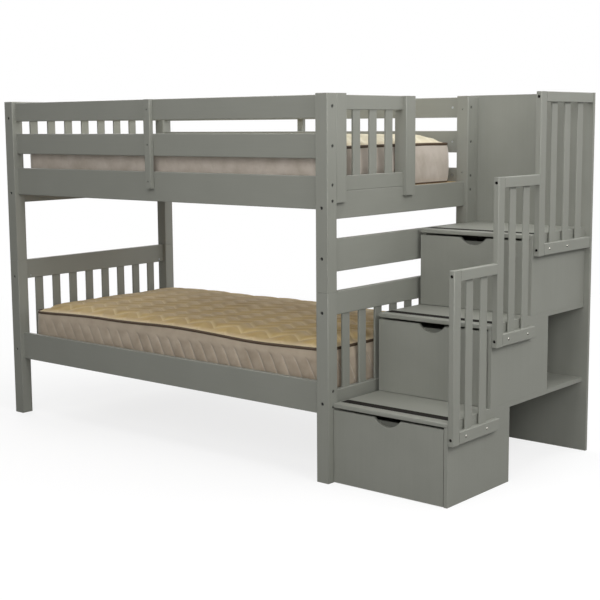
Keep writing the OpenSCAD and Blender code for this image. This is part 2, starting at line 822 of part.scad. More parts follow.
module barrel_nuts() {
    color(steel) in_place() {
        side_bolt_places() translate([0, 0, post]) barrel_nut();
        end_bolt_places() translate([0, 0, post]) rotate([0, 0, 90]) barrel_nut();
    }
}

module post_dowels() {
    color(bare_pine) in_place() for (left = [false, true]) at_end(left) front_and_rear()
        translate([-post / 2, post / 2, split_h - dowel_l / 2 + seat])
            cylinder(h = dowel_l - 2 * seat, d = dowel_d);
}

// A guard screw's head: a disc with a sloping rim and a hexagon socket
module screw_head() {
    difference() {
        union() {
            cylinder(h = screw_head_h, d = screw_head_d);
            translate([0, 0, screw_head_h]) cylinder(h = screw_rim_h, d1 = screw_head_d, d2 = screw_top_d);
        }
        translate([0, 0, screw_head_h]) cylinder(h = 2 * screw_rim_h, d = hex_d, $fn = 6);
    }
}

module guard_screws() {
    color(steel) in_place() {
        for (k = [1:3]) {
            for (y = guard_screw_y(k))
                translate([stair_w + guard_t - screw_sink, y, guard_z(k) + guard_rail_low_h / 2])
                    rotate([0, 90, 0]) screw_head();
            for (z = guard_bolt_z(k))
                translate([stair_w + guard_t / 2, guard_y(k) + screw_sink, z])
                    rotate([90, 0, 0]) screw_head();
        }
    }
}

lower_post(true, false);  // lower_post_front_left
lower_post(false, false);  // lower_post_front_right
lower_post(true, true);  // lower_post_rear_left
lower_post(false, true);  // lower_post_rear_right
upper_post(true, false);  // upper_post_front_left
upper_post(false, false);  // upper_post_front_right
upper_post(true, true);  // upper_post_rear_left
upper_post(false, true);  // upper_post_rear_right
lower_end_rails(true);  // lower_left_end_rails
lower_end_slats(true);  // lower_left_end_slats
lower_end_rails(false);  // lower_right_end_rails
lower_end_slats(false);  // lower_right_end_slats
upper_left_end_rails();
upper_left_end_slats();
stair_end_wide_rail();
stair_end_second_rail();
end_guard_stile();
end_guard_upright();
end_guard_rails();
end_guard_slats();
side_rail(lower_rail_z, side_bolts_lower, false);  // lower_side_rail_front
side_rail(lower_rail_z, side_bolts_lower, true);  // lower_side_rail_rear
side_rail(upper_rail_z, upper_rail_bolts, false);  // upper_side_rail_front
side_rail(upper_rail_z, upper_rail_bolts, true);  // upper_side_rail_rear
guard_boards(false);  // guard_boards_front
guard_boards(true);  // guard_boards_rear
middle_uprights();
deck_cleats();
deck_slats_all();
lower_mattress();
upper_mattress();
tread(1);  // tread_1
tread(2);  // tread_2
tread(3);  // tread_3
anti_slip_strips();
stair_left_panels();
stair_right_panel(1);  // stair_right_panel_1
stair_right_panel(2);  // stair_right_panel_2
stair_right_panel(3);  // stair_right_panel_3
case_dividers();
rear_panel(0, rear_joint);  // rear_panel_lower
rear_panel(rear_joint, panel_top);  // rear_panel_upper
rear_batten();
stair_guard_uprights();
stair_guard_rails();
stair_guard_slats();
drawer_front(1);  // drawer_1_front
drawer_box(1);  // drawer_1_box
drawer_slides(1);  // drawer_1_slides
drawer_front(2);  // drawer_2_front
drawer_box(2);  // drawer_2_box
drawer_slides(2);  // drawer_2_slides
drawer_front(3);  // drawer_3_front
drawer_box(3);  // drawer_3_box
drawer_slides(3);  // drawer_3_slides
drawer_channels();
frame_bolts();
barrel_nuts();
post_dowels();
guard_screws();
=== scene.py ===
# Bunk bed with a drawer staircase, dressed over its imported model.
# Metres, in the model's own frame: the bed stands on z = 0 and its front faces -Y.
import math

import bpy
import numpy as np
from mathutils import Matrix, Vector, noise


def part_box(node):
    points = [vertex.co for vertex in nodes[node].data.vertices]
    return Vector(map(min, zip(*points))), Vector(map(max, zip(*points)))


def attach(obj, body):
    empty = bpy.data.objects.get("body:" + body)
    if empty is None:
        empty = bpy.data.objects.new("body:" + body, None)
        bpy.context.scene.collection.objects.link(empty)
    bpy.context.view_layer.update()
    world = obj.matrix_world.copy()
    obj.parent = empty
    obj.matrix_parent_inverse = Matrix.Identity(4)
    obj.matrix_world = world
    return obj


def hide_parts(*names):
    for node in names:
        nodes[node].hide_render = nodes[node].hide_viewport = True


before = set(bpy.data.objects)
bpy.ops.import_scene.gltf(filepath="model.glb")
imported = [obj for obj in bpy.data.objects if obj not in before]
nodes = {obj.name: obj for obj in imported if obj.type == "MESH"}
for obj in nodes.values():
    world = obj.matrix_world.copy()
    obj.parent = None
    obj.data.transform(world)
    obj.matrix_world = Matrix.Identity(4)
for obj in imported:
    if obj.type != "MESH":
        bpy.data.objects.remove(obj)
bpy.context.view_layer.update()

# Posts
# Eight square posts of solid pine, planed, eased along their edges and sprayed
# with a satin grey lacquer. The upper four stand on dowels in the lower four.
MM = 0.001
PAINT_GREY = "#888981"
PAINT_SHADE = "#84857d"


def srgb(code):
    channels = [int(code[i:i + 2], 16) / 255 for i in (1, 3, 5)]
    return [c / 12.92 if c <= 0.04045 else ((c + 0.055) / 1.055) ** 2.4 for c in channels] + [1.0]


def add(material, kind, settings=None, **links):
    """Adds a node to a material's tree; settings fill its fields and sockets, links join sockets by name."""
    tree = material.node_tree
    node = tree.nodes.new(kind)
    for key, value in (settings or {}).items():
        if isinstance(key, str) and hasattr(node, key):
            setattr(node, key, value)
        else:
            node.inputs[key].default_value = value
    for key, source in links.items():
        name = key.replace("_", " ")
        socket = node.inputs[int(key[1:])] if key[0] == "i" and key[1:].isdigit() else node.inputs[name]
        tree.links.new(source, socket)
    return node


def blank(name):
    material = bpy.data.materials.new(name)
    material.use_nodes = True
    material.node_tree.nodes.clear()
    return material


def close(material, shader):
    add(material, "ShaderNodeOutputMaterial", Surface=shader.outputs[0])
    return material


# Lacquered pine: IOR 1.5, satin. The soft early wood sinks a little under the
# lacquer, so fine streaks run with the grain; they are 6 mm apart and 220 mm
# long. The spray leaves a faint orange peel, drawn 3 mm coarse so it shows.
def lacquered_pine(grain):
    material = blank("lacquered_pine_grain_" + grain)
    streaks = [1 / (6 * MM)] * 3
    streaks["xyz".index(grain)] = 1 / (220 * MM)
    place = add(material, "ShaderNodeTexCoord")
    along = add(material, "ShaderNodeMapping", {"Scale": streaks}, Vector=place.outputs["Object"])
    wood = add(material, "ShaderNodeTexNoise", {"Scale": 1.0, "Detail": 4.0, "Roughness": 0.6},
               Vector=along.outputs[0])
    broad = add(material, "ShaderNodeTexNoise", {"Scale": 1 / (260 * MM), "Detail": 2.0},
                Vector=place.outputs["Object"])
    peel = add(material, "ShaderNodeTexNoise", {"Scale": 1 / (3 * MM), "Detail": 1.0},
               Vector=place.outputs["Object"])
    tone = add(material, "ShaderNodeMath", {"operation": "MULTIPLY_ADD", 1: 0.55},
               i0=wood.outputs[0], i2=broad.outputs[0])
    paint = add(material, "ShaderNodeValToRGB", None, Fac=tone.outputs[0])
    paint.color_ramp.elements[0].position = 0.55
    paint.color_ramp.elements[0].color = srgb(PAINT_SHADE)
    paint.color_ramp.elements[1].position = 1.0
    paint.color_ramp.elements[1].color = srgb(PAINT_GREY)
    gloss = add(material, "ShaderNodeMapRange", {"To Min": 0.44, "To Max": 0.56}, Value=wood.outputs[0])
    grain_relief = add(material, "ShaderNodeBump", {"Strength": 0.35, "Distance": 0.12 * MM},
                       Height=wood.outputs[0])
    relief = add(material, "ShaderNodeBump", {"Strength": 0.25, "Distance": 0.08 * MM},
                 Height=peel.outputs[0], Normal=grain_relief.outputs[0])
    skin = add(material, "ShaderNodeBsdfPrincipled", {"IOR": 1.5, "Specular IOR Level": 0.3},
               Base_Color=paint.outputs[0], Roughness=gloss.outputs[0], Normal=relief.outputs[0])
    return close(material, skin)


def dress(node, material, easing=0.0):
    """Gives a CAD node its finish; easing rounds its sawn ends, in mm."""
    piece = nodes[node]
    piece.data.materials.clear()
    piece.data.materials.append(material)
    if easing:
        weld = piece.modifiers.new("weld", "WELD")
        weld.merge_threshold = 0.01 * MM
        ease = piece.modifiers.new("easing", "BEVEL")
        ease.width = easing * MM
        ease.segments = 2
        ease.limit_method = "ANGLE"
        ease.angle_limit = math.radians(40)
        ease.harden_normals = True


pine_upright = lacquered_pine("z")
for level in ("lower", "upper"):
    for side in ("front_left", "front_right", "rear_left", "rear_right"):
        dress(f"{level}_post_{side}", pine_upright, 1.0)

# End panels
# Two pine rails with flat slats let in between them, at both ends below and at
# the left end above. Their edges are eased and they carry the same lacquer.
pine_across = lacquered_pine("y")
for end in ("lower_left_end", "lower_right_end", "upper_left_end"):
    dress(end + "_rails", pine_across, 1.0)
    dress(end + "_slats", pine_upright)

# Stair end and its guard
# Two wide rails close the upper bunk beside the stairs. A stile and an upright
# lap the upper one and hold the small slatted guard; behind it is the way in.
dress("stair_end_wide_rail", pine_across, 1.0)
dress("stair_end_second_rail", pine_across, 1.0)
dress("end_guard_stile", pine_upright, 1.0)
dress("end_guard_upright", pine_upright, 1.0)
dress("end_guard_rails", pine_across, 1.0)
dress("end_guard_slats", pine_upright)

# Side rails and guard boards
# Long pine boards bolted between the posts, with the grain along the bed, and
# one upright at the middle of each side that ties the guard boards to the rail.
pine_lengthwise = lacquered_pine("x")
for board in ("lower_side_rail_front", "lower_side_rail_rear", "upper_side_rail_front",
              "upper_side_rail_rear", "guard_boards_front", "guard_boards_rear"):
    dress(board, pine_lengthwise, 1.0)
dress("middle_uprights", pine_upright, 1.0)


# Decks
# Sawn pine cleats screwed along the side rails and loose pine slats across
# them. They are not painted: pale sapwood with brown late-wood lines and knots.
def sawn_pine(grain):
    material = blank("sawn_pine_grain_" + grain)
    rings = [1.0, 1.0, 1.0]
    rings["xyz".index(grain)] = 0.04
    place = add(material, "ShaderNodeTexCoord")
    along = add(material, "ShaderNodeMapping", {"Scale": rings}, Vector=place.outputs["Object"])
    sway = add(material, "ShaderNodeTexNoise", {"Scale": 1 / (60 * MM), "Detail": 3.0},
               Vector=along.outputs[0])
    bent = add(material, "ShaderNodeVectorMath", {"operation": "MULTIPLY_ADD", 1: (0.02, 0.02, 0.02)},
               i0=sway.outputs["Color"], i2=along.outputs[0])
    late_wood = add(material, "ShaderNodeTexWave", {"wave_type": "BANDS", "bands_direction": "DIAGONAL",
                    "Scale": 1 / (22 * MM), "Distortion": 1.5, "Detail": 2.0}, Vector=bent.outputs[0])
    tint = add(material, "ShaderNodeValToRGB", None, Fac=late_wood.outputs[0])
    tint.color_ramp.elements[0].color = srgb("#d9bd8d")
    tint.color_ramp.elements[1].color = srgb("#bf9862")
    tint.color_ramp.elements[1].position = 0.95
    saw_marks = add(material, "ShaderNodeTexNoise", {"Scale": 1 / (4 * MM), "Detail": 4.0},
                    Vector=along.outputs[0])
    relief = add(material, "ShaderNodeBump", {"Strength": 0.5, "Distance": 0.3 * MM},
                 Height=saw_marks.outputs[0])
    wood = add(material, "ShaderNodeBsdfPrincipled", {"IOR": 1.45, "Roughness": 0.72},
               Base_Color=tint.outputs[0], Normal=relief.outputs[0])
    return close(material, wood)


dress("deck_cleats", sawn_pine("x"), 1.0)
dress("deck_slats_all", sawn_pine("y"), 1.0)

# Mattresses
# Two twin mattresses with a foam core in quilted ticking. The top panel is
# machine quilted in nested zigzags, the swelling border in slanting waves, and a
# woven tape is sewn over the seams. The crown is pressed out by the foam inside.
CORNER = 62 * MM            # radius of the corners
CELL = 20 * MM              # grid of the cloth before it is subdivided
BORDER_ROWS = 9
SUBDIVISIONS = 2
DROOP = 150 * MM            # how far in from a corner the top still falls away
LUMPS = 5 * MM              # unevenness of the filling
RIPPLE = 3 * MM             # unevenness of the cover over it
ZIG = 80 * MM               # half a zigzag, along the bed
ZIG_RISE = 60 * MM          # its height, across the bed
ZIG_ROWS = 80 * MM          # from one zigzag seam to the next
PUFF = 7 * MM               # height of the filling between those seams
PALE_RIM = 34 * MM         # width of the paler band of knit inside the tape
WAVE_PITCH = 67 * MM        # from one wave of the border to the next
WAVE_SLANT = 0.6
WAVE_CURL = 3 * MM
WAVE_CURL_RISE = 24 * MM
PLAIN_BAND = 36 * MM        # unquilted band of the border, under the tape
TAPE_SIDES = 8
TAPE_OUT = 1.4 * MM         # how far the bead's middle stands off the seam
TAPE_HALF_DEPTH = 3 * MM
TAPE_HALF_HEIGHT = 6.3 * MM
BASE_TAPE_HALF_HEIGHT = 3.5 * MM
BASE_TAPE_UP = 3.8 * MM     # its middle above the slats
BASE_UP = 1.5 * MM          # the base cloth above the slats


def top_outline(length, width):
    """Grid over a mattress top with rounded corners: x, y, inset from the edge, the rim's order, cells."""
    columns, rows = round(length / CELL), round(width / CELL)
    xs = np.linspace(-length / 2, length / 2, columns + 1)
    ys = np.linspace(-width / 2, width / 2, rows + 1)
    x, y = [a.ravel() for a in np.meshgrid(xs, ys, indexing="ij")]
    dx, dy = np.abs(x) - (length / 2 - CORNER), np.abs(y) - (width / 2 - CORNER)
    corner = (dx > 0) & (dy > 0)
    pull = np.where(corner, np.maximum(dx, dy) / np.maximum(np.hypot(dx, dy), 1e-9), 1.0)
    inset = np.minimum(length / 2 - np.abs(x), width / 2 - np.abs(y))
    inset = np.where(corner, CORNER - np.maximum(dx, dy), inset)
    x = np.where(corner, np.sign(x) * (length / 2 - CORNER + dx * pull), x)
    y = np.where(corner, np.sign(y) * (width / 2 - CORNER + dy * pull), y)

    def at(i, j):
        return i * (rows + 1) + j

    rim = ([at(i, 0) for i in range(columns)] + [at(columns, j) for j in range(rows)]
           + [at(i, rows) for i in range(columns, 0, -1)] + [at(0, j) for j in range(rows, 0, -1)])
    cells = [(at(i, j), at(i + 1, j), at(i + 1, j + 1), at(i, j + 1))
             for i in range(columns) for j in range(rows)]
    return x, y, inset, rim, cells


def rim_outward(x, y, length, width):
    """Outward directions of the rim's points, radial in the corners."""
    dx, dy = np.abs(x) - (length / 2 - CORNER), np.abs(y) - (width / 2 - CORNER)
    out = np.stack([np.where(dx > 0, dx, 0) * np.sign(x), np.where(dy > 0, dy, 0) * np.sign(y)], -1)
    return out / np.linalg.norm(out, axis=1)[:, None]


def tape_sway(x, length):
    """How far the used mattress's tape runs off the straight: it sags by 16 mm at the far end, then swings
    by 7 mm over every 1.05 m."""
    along = x + length / 2
    swing = 7 * MM * np.sin(math.tau * (along - 0.72) / 1.05) * np.clip((along - 0.5) / 0.35, 0, 1)
    sag = 16 * MM * np.exp(-(along / 0.25) ** 2)
    return swing - sag


def press_out(shell, held, frames=20):
    """Foam pressure: cloth with its base and seams held, its result written back to the mesh."""
    group = shell.vertex_groups.new(name="held")
    for weight, members in held:
        group.add(members, weight, "REPLACE")
    cloth = shell.modifiers.new("foam", "CLOTH")
    cloth.settings.quality = 5
    cloth.settings.mass = 0.35
    cloth.settings.tension_stiffness = cloth.settings.compression_stiffness = 18
    cloth.settings.bending_stiffness = 1.5
    cloth.settings.use_pressure = True
    cloth.settings.uniform_pressure_force = 4
    cloth.settings.vertex_group_mass = "held"
    cloth.settings.effector_weights.gravity = 0
    cloth.collision_settings.use_collision = False
    start = np.array([v.co for v in shell.data.vertices])
    for number in range(1, frames + 1):
        bpy.context.scene.frame_set(number)
    pressed = shell.evaluated_get(bpy.context.evaluated_depsgraph_get()).data
    moved = np.array([v.co for v in pressed.vertices]) - start
    shell.modifiers.remove(cloth)
    bpy.context.scene.frame_set(1)
    aside, sunk, raised = 1.5 * MM, 3 * MM, 9 * MM
    moved[:, :2] = np.clip(moved[:, :2], -aside, aside)
    moved[:, 2] = np.clip(moved[:, 2], -sunk, raised)
    shell.data.vertices.foreach_set("co", (start + moved).ravel())


def zigzag_depth(x, y):
    """How far each point of the top lies from the nearest quilting seam, over half the lane: 0 to 1."""
    across = (1 - np.abs(((x / ZIG) % 2) - 1)) * ZIG_RISE
    lane = ((y - across) / ZIG_ROWS) % 1
    return np.abs(lane - 0.5) * 2


def round_the_border(x, y, length, width):
    """Distance along the border, counted from the front left corner, and the whole way round."""
    a, b = length / 2 - CORNER, width / 2 - CORNER
    cx, cy = np.clip(x, -a, a), np.clip(y, -b, b)
    turn = (np.arctan2(y - cy, x - cx) + math.pi / 2) % math.tau
    first = (cx + a) + (cy + b) + CORNER * turn
    rest = 2 * (a + b) + (a - cx) + (b - cy) + CORNER * turn
    return np.where(turn <= math.pi / 2 + 1e-6, first, rest), 4 * (a + b) + CORNER * math.tau


def wave_lane(along, whole, z):
    """Which slanting wave of the border a point lies in, with a whole number of them round the border."""
    pitch = whole / round(whole / WAVE_PITCH)
    return (along + WAVE_SLANT * z + WAVE_CURL * np.sin(z / WAVE_CURL_RISE)) / pitch


def refine(loop):
    """One step of the subdivision of a closed seam line."""
    before, after = np.roll(loop, 1, 0), np.roll(loop, -1, 0)
    return np.stack([(before + 6 * loop + after) / 8, (loop + after) / 2], 1).reshape(-1, 3)


def new_piece(name, points, faces, material):
    mesh = bpy.data.meshes.new(name)
    mesh.from_pydata([tuple(p) for p in points], [], faces)
    mesh.materials.append(material)
    mesh.shade_smooth()
    piece = bpy.data.objects.new(name, mesh)
    bpy.context.scene.collection.objects.link(piece)
    return piece


def tape_beads(name, seams, material):
    """The woven tape: a flat rounded bead along each seam line, given with its half height."""
    points, faces = [], []
    sides = TAPE_SIDES
    for loop, half in seams:
        n, first = len(loop), len(points)
        middle = loop.mean(0)
        tangent = np.roll(loop, -1, 0) - np.roll(loop, 1, 0)
        out = np.stack([tangent[:, 1], -tangent[:, 0], np.zeros(n)], -1)
        out /= np.linalg.norm(out, axis=1)[:, None]
        out *= np.sign(((loop - middle) * out).sum(1))[:, None]
        for p, o in zip(loop, out):
            for s in range(sides):
                a = math.tau * s / sides
                up = np.array([0, 0, half * math.sin(a)])
                points.append(p + o * (TAPE_OUT + TAPE_HALF_DEPTH * math.cos(a)) + up)
        faces += [(first + i * sides + s, first + i * sides + (s + 1) % sides,
                   first + (i + 1) % n * sides + (s + 1) % sides, first + (i + 1) % n * sides + s)
                  for i in range(n) for s in range(sides)]
    return new_piece(name, points, faces, material)


# Quilted knit for the top: matt, soft sheen, 1.5 mm knit ribs drawn 3 mm wide so
# they show. A pale thread lies in each zigzag seam, and behind it a paler band is a
# painted highlight where the puff's slope faces the lamps, weaker where the quilting
# lies flatter. The knit is also paler within about 4 cm of the edge.
def quilted_knit(name, shaded, worn, thread_and_highlight_tone, edge_tone):
    material = blank("quilted_knit_" + name)
    place = add(material, "ShaderNodeTexCoord")
    split = add(material, "ShaderNodeSeparateXYZ", None, Vector=place.outputs["Object"])
    shade = add(material, "ShaderNodeTexNoise", {"Scale": 1 / (90 * MM), "Detail": 3.0},
                Vector=place.outputs["Object"])
    tint = add(material, "ShaderNodeValToRGB", None, Fac=shade.outputs[0])
    tint.color_ramp.elements[0].color = srgb(shaded)
    tint.color_ramp.elements[0].position = 0.3
    tint.color_ramp.elements[1].color = srgb(worn)
    tint.color_ramp.elements[1].position = 0.7
    ribs = add(material, "ShaderNodeTexWave", {"wave_type": "BANDS", "bands_direction": "Y",
               "Scale": 1 / (3 * MM * math.tau), "Distortion": 0.6}, Vector=place.outputs["Object"])
    zig = add(material, "ShaderNodeMath", {"operation": "PINGPONG", 1: ZIG}, i0=split.outputs[0])
    rise = add(material, "ShaderNodeMath", {"operation": "MULTIPLY_ADD", 1: -ZIG_RISE / ZIG},
               i0=zig.outputs[0], i2=split.outputs[1])
    lane = add(material, "ShaderNodeMath", {"operation": "DIVIDE", 1: ZIG_ROWS}, i0=rise.outputs[0])
    part = add(material, "ShaderNodeMath", {"operation": "FRACT"}, i0=lane.outputs[0])
    off = add(material, "ShaderNodeMath", {"operation": "SUBTRACT", 1: 0.5}, i0=part.outputs[0])
    # Pale thread in the seam, then a painted highlight fading out over 19 mm behind it, scaled by the
    # quilting's depth.
    sewn_in = add(material, "ShaderNodeMapRange", {"From Min": -0.04, "From Max": 0.0}, Value=off.outputs[0])
    highlight_fade = add(material, "ShaderNodeMapRange", {"From Min": 0.03, "From Max": 0.24, "To Min": 0.8,
                 "To Max": 0.0}, Value=off.outputs[0])
    thread = add(material, "ShaderNodeMath", {"operation": "MULTIPLY"}, i0=sewn_in.outputs[0],
                 i1=highlight_fade.outputs[0])
    depth = add(material, "ShaderNodeAttribute", {"attribute_name": "quilt_depth"})
    thread_and_painted_highlight = add(material, "ShaderNodeMath", {"operation": "MULTIPLY"}, i0=thread.outputs[0],
                   i1=depth.outputs["Fac"])
    sewn = add(material, "ShaderNodeMix", {"data_type": "RGBA", 7: srgb(thread_and_highlight_tone)},
               i0=thread_and_painted_highlight.outputs[0], i6=tint.outputs[0])
    # Paler within about 4 cm of the edge, its inner line made ragged by the noise.
    inset = add(material, "ShaderNodeAttribute", {"attribute_name": "from_seam"})
    drawn = add(material, "ShaderNodeMath", {"operation": "MULTIPLY_ADD", 1: 0.6 * PALE_RIM},
                i0=shade.outputs[0], i2=inset.outputs["Fac"])
    pull = add(material, "ShaderNodeMapRange", {"From Min": 0.5 * PALE_RIM, "From Max": 1.3 * PALE_RIM,
               "To Min": 0.8, "To Max": 0.0}, Value=drawn.outputs[0])
    cloth = add(material, "ShaderNodeMix", {"data_type": "RGBA", 7: srgb(edge_tone)},
                i0=pull.outputs[0], i6=sewn.outputs[2])
    relief = add(material, "ShaderNodeBump", {"Strength": 0.4, "Distance": 0.4 * MM}, Height=ribs.outputs[0])
    knit = add(material, "ShaderNodeBsdfPrincipled", {"Roughness": 0.9, "Sheen Weight": 0.2,
               "Sheen Roughness": 0.5, "IOR": 1.45}, Base_Color=cloth.outputs[2], Normal=relief.outputs[0])
    return close(material, knit)


# Border ticking: brushed polyester, matt, blotched by its nap, with a 1 mm cross
# weave drawn 2.5 mm wide, in taupe and in a paler tone. A pale thread lies in the
# quilted waves, and the plain band under the tape is stretched and paler.
def border_ticking(name, shaded, clear, plain_tone, sewn_tone, depth):
    material = blank("brushed_border_ticking_" + name)
    place = add(material, "ShaderNodeTexCoord")
    shade = add(material, "ShaderNodeTexNoise", {"Scale": 1 / (70 * MM), "Detail": 4.0},
                Vector=place.outputs["Object"])
    tint = add(material, "ShaderNodeValToRGB", None, Fac=shade.outputs[0])
    tint.color_ramp.elements[0].color = srgb(shaded)
    tint.color_ramp.elements[0].position = 0.32
    tint.color_ramp.elements[1].color = srgb(clear)
    tint.color_ramp.elements[1].position = 0.68
    lane = add(material, "ShaderNodeAttribute", {"attribute_name": "wave_lane"})
    part = add(material, "ShaderNodeMath", {"operation": "FRACT"}, i0=lane.outputs["Fac"])
    off = add(material, "ShaderNodeMath", {"operation": "SUBTRACT", 1: 0.5}, i0=part.outputs[0])
    near = add(material, "ShaderNodeMath", {"operation": "ABSOLUTE"}, i0=off.outputs[0])
    quilted = add(material, "ShaderNodeAttribute", {"attribute_name": "wave_band"})
    plain = add(material, "ShaderNodeMapRange", {"To Min": 0.35, "To Max": 0.0}, Value=quilted.outputs["Fac"])
    stretched = add(material, "ShaderNodeMix", {"data_type": "RGBA", 7: srgb(plain_tone)},
                    i0=plain.outputs[0], i6=tint.outputs[0])
    dip = add(material, "ShaderNodeMapRange", {"From Min": 0.0, "From Max": 0.09, "To Min": 1.0,
              "To Max": 0.0}, Value=near.outputs[0])
    groove = add(material, "ShaderNodeMath", {"operation": "MULTIPLY"}, i0=dip.outputs[0],
                 i1=quilted.outputs["Fac"])
    stitch = add(material, "ShaderNodeMapRange", {"From Min": 0.02, "From Max": 0.05, "To Min": depth,
                 "To Max": 0.0}, Value=near.outputs[0])
    thread = add(material, "ShaderNodeMath", {"operation": "MULTIPLY"}, i0=stitch.outputs[0],
                 i1=quilted.outputs["Fac"])
    sewn = add(material, "ShaderNodeMix", {"data_type": "RGBA", 7: srgb(sewn_tone)},
               i0=thread.outputs[0], i6=stretched.outputs[2])
    weave = add(material, "ShaderNodeTexNoise", {"Scale": 1 / (2.5 * MM), "Detail": 1.0},
                Vector=place.outputs["Object"])
    nap = add(material, "ShaderNodeBump", {"Strength": 0.4, "Distance": 0.3 * MM}, Height=weave.outputs[0])
    relief = add(material, "ShaderNodeBump", {"invert": True, "Strength": depth, "Distance": 3 * MM},
                 Height=groove.outputs[0], Normal=nap.outputs[0])
    cloth = add(material, "ShaderNodeBsdfPrincipled", {"Roughness": 0.92, "Sheen Weight": 0.25,
                "Sheen Roughness": 0.5, "IOR": 1.45}, Base_Color=sewn.outputs[2], Normal=relief.outputs[0])
    return close(material, cloth)


# Edge tape: woven polypropylene, dark brown, with a faint gloss and ribs that
# cross it every 2 mm, drawn 4 mm wide.
def edge_tape():
    material = blank("woven_edge_tape")
    place = add(material, "ShaderNodeTexCoord")
    ribs = add(material, "ShaderNodeTexNoise", {"Scale": 1 / (4 * MM), "Detail": 1.0},
               Vector=place.outputs["Object"])
    tint = add(material, "ShaderNodeValToRGB", None, Fac=ribs.outputs[0])
    tint.color_ramp.elements[0].color = srgb("#3f3022")
    tint.color_ramp.elements[1].color = srgb("#4f3e2c")
    relief = add(material, "ShaderNodeBump", {"Strength": 0.5, "Distance": 0.4 * MM}, Height=ribs.outputs[0])
    tape = add(material, "ShaderNodeBsdfPrincipled", {"Roughness": 0.6, "IOR": 1.5},
               Base_Color=tint.outputs[0], Normal=relief.outputs[0])
    return close(material, tape)


tape = edge_tape()
taupe_ticking = border_ticking("taupe", "#948674", "#ab9d8b", "#c0b19c", "#c0b5a7", depth=0.5)
pale_ticking = border_ticking("pale", "#aca194", "#bfb5aa", "#bfb5aa", "#c6bdb3", depth=0.12)
gold_knit = quilted_knit("gold", "#ab915e", "#bfa66f", "#d1bd8d", "#d4c4a5")
cream_knit = quilted_knit("cream", "#b4ab90", "#c0b89f", "#cbc4ad", "#cfc2a6")


def subdivide(shell, seams):
    """Creases the closed seam lines, given as vertex numbers, and writes the subdivided mesh back."""
    creased = set()
    for line in seams:
        creased |= {tuple(sorted(pair)) for pair in zip(line, line[1:] + line[:1])}
    crease = shell.data.attributes.new("crease_edge", "FLOAT", "EDGE")
    for edge in shell.data.edges:
        if tuple(sorted(edge.vertices)) in creased:
            crease.data[edge.index].value = 1.0
    smooth = shell.modifiers.new("smooth", "SUBSURF")
    smooth.levels = smooth.render_levels = SUBDIVISIONS
    fine = bpy.data.meshes.new_from_object(shell.evaluated_get(bpy.context.evaluated_depsgraph_get()))
    shell.modifiers.remove(smooth)
    shell.data = fine


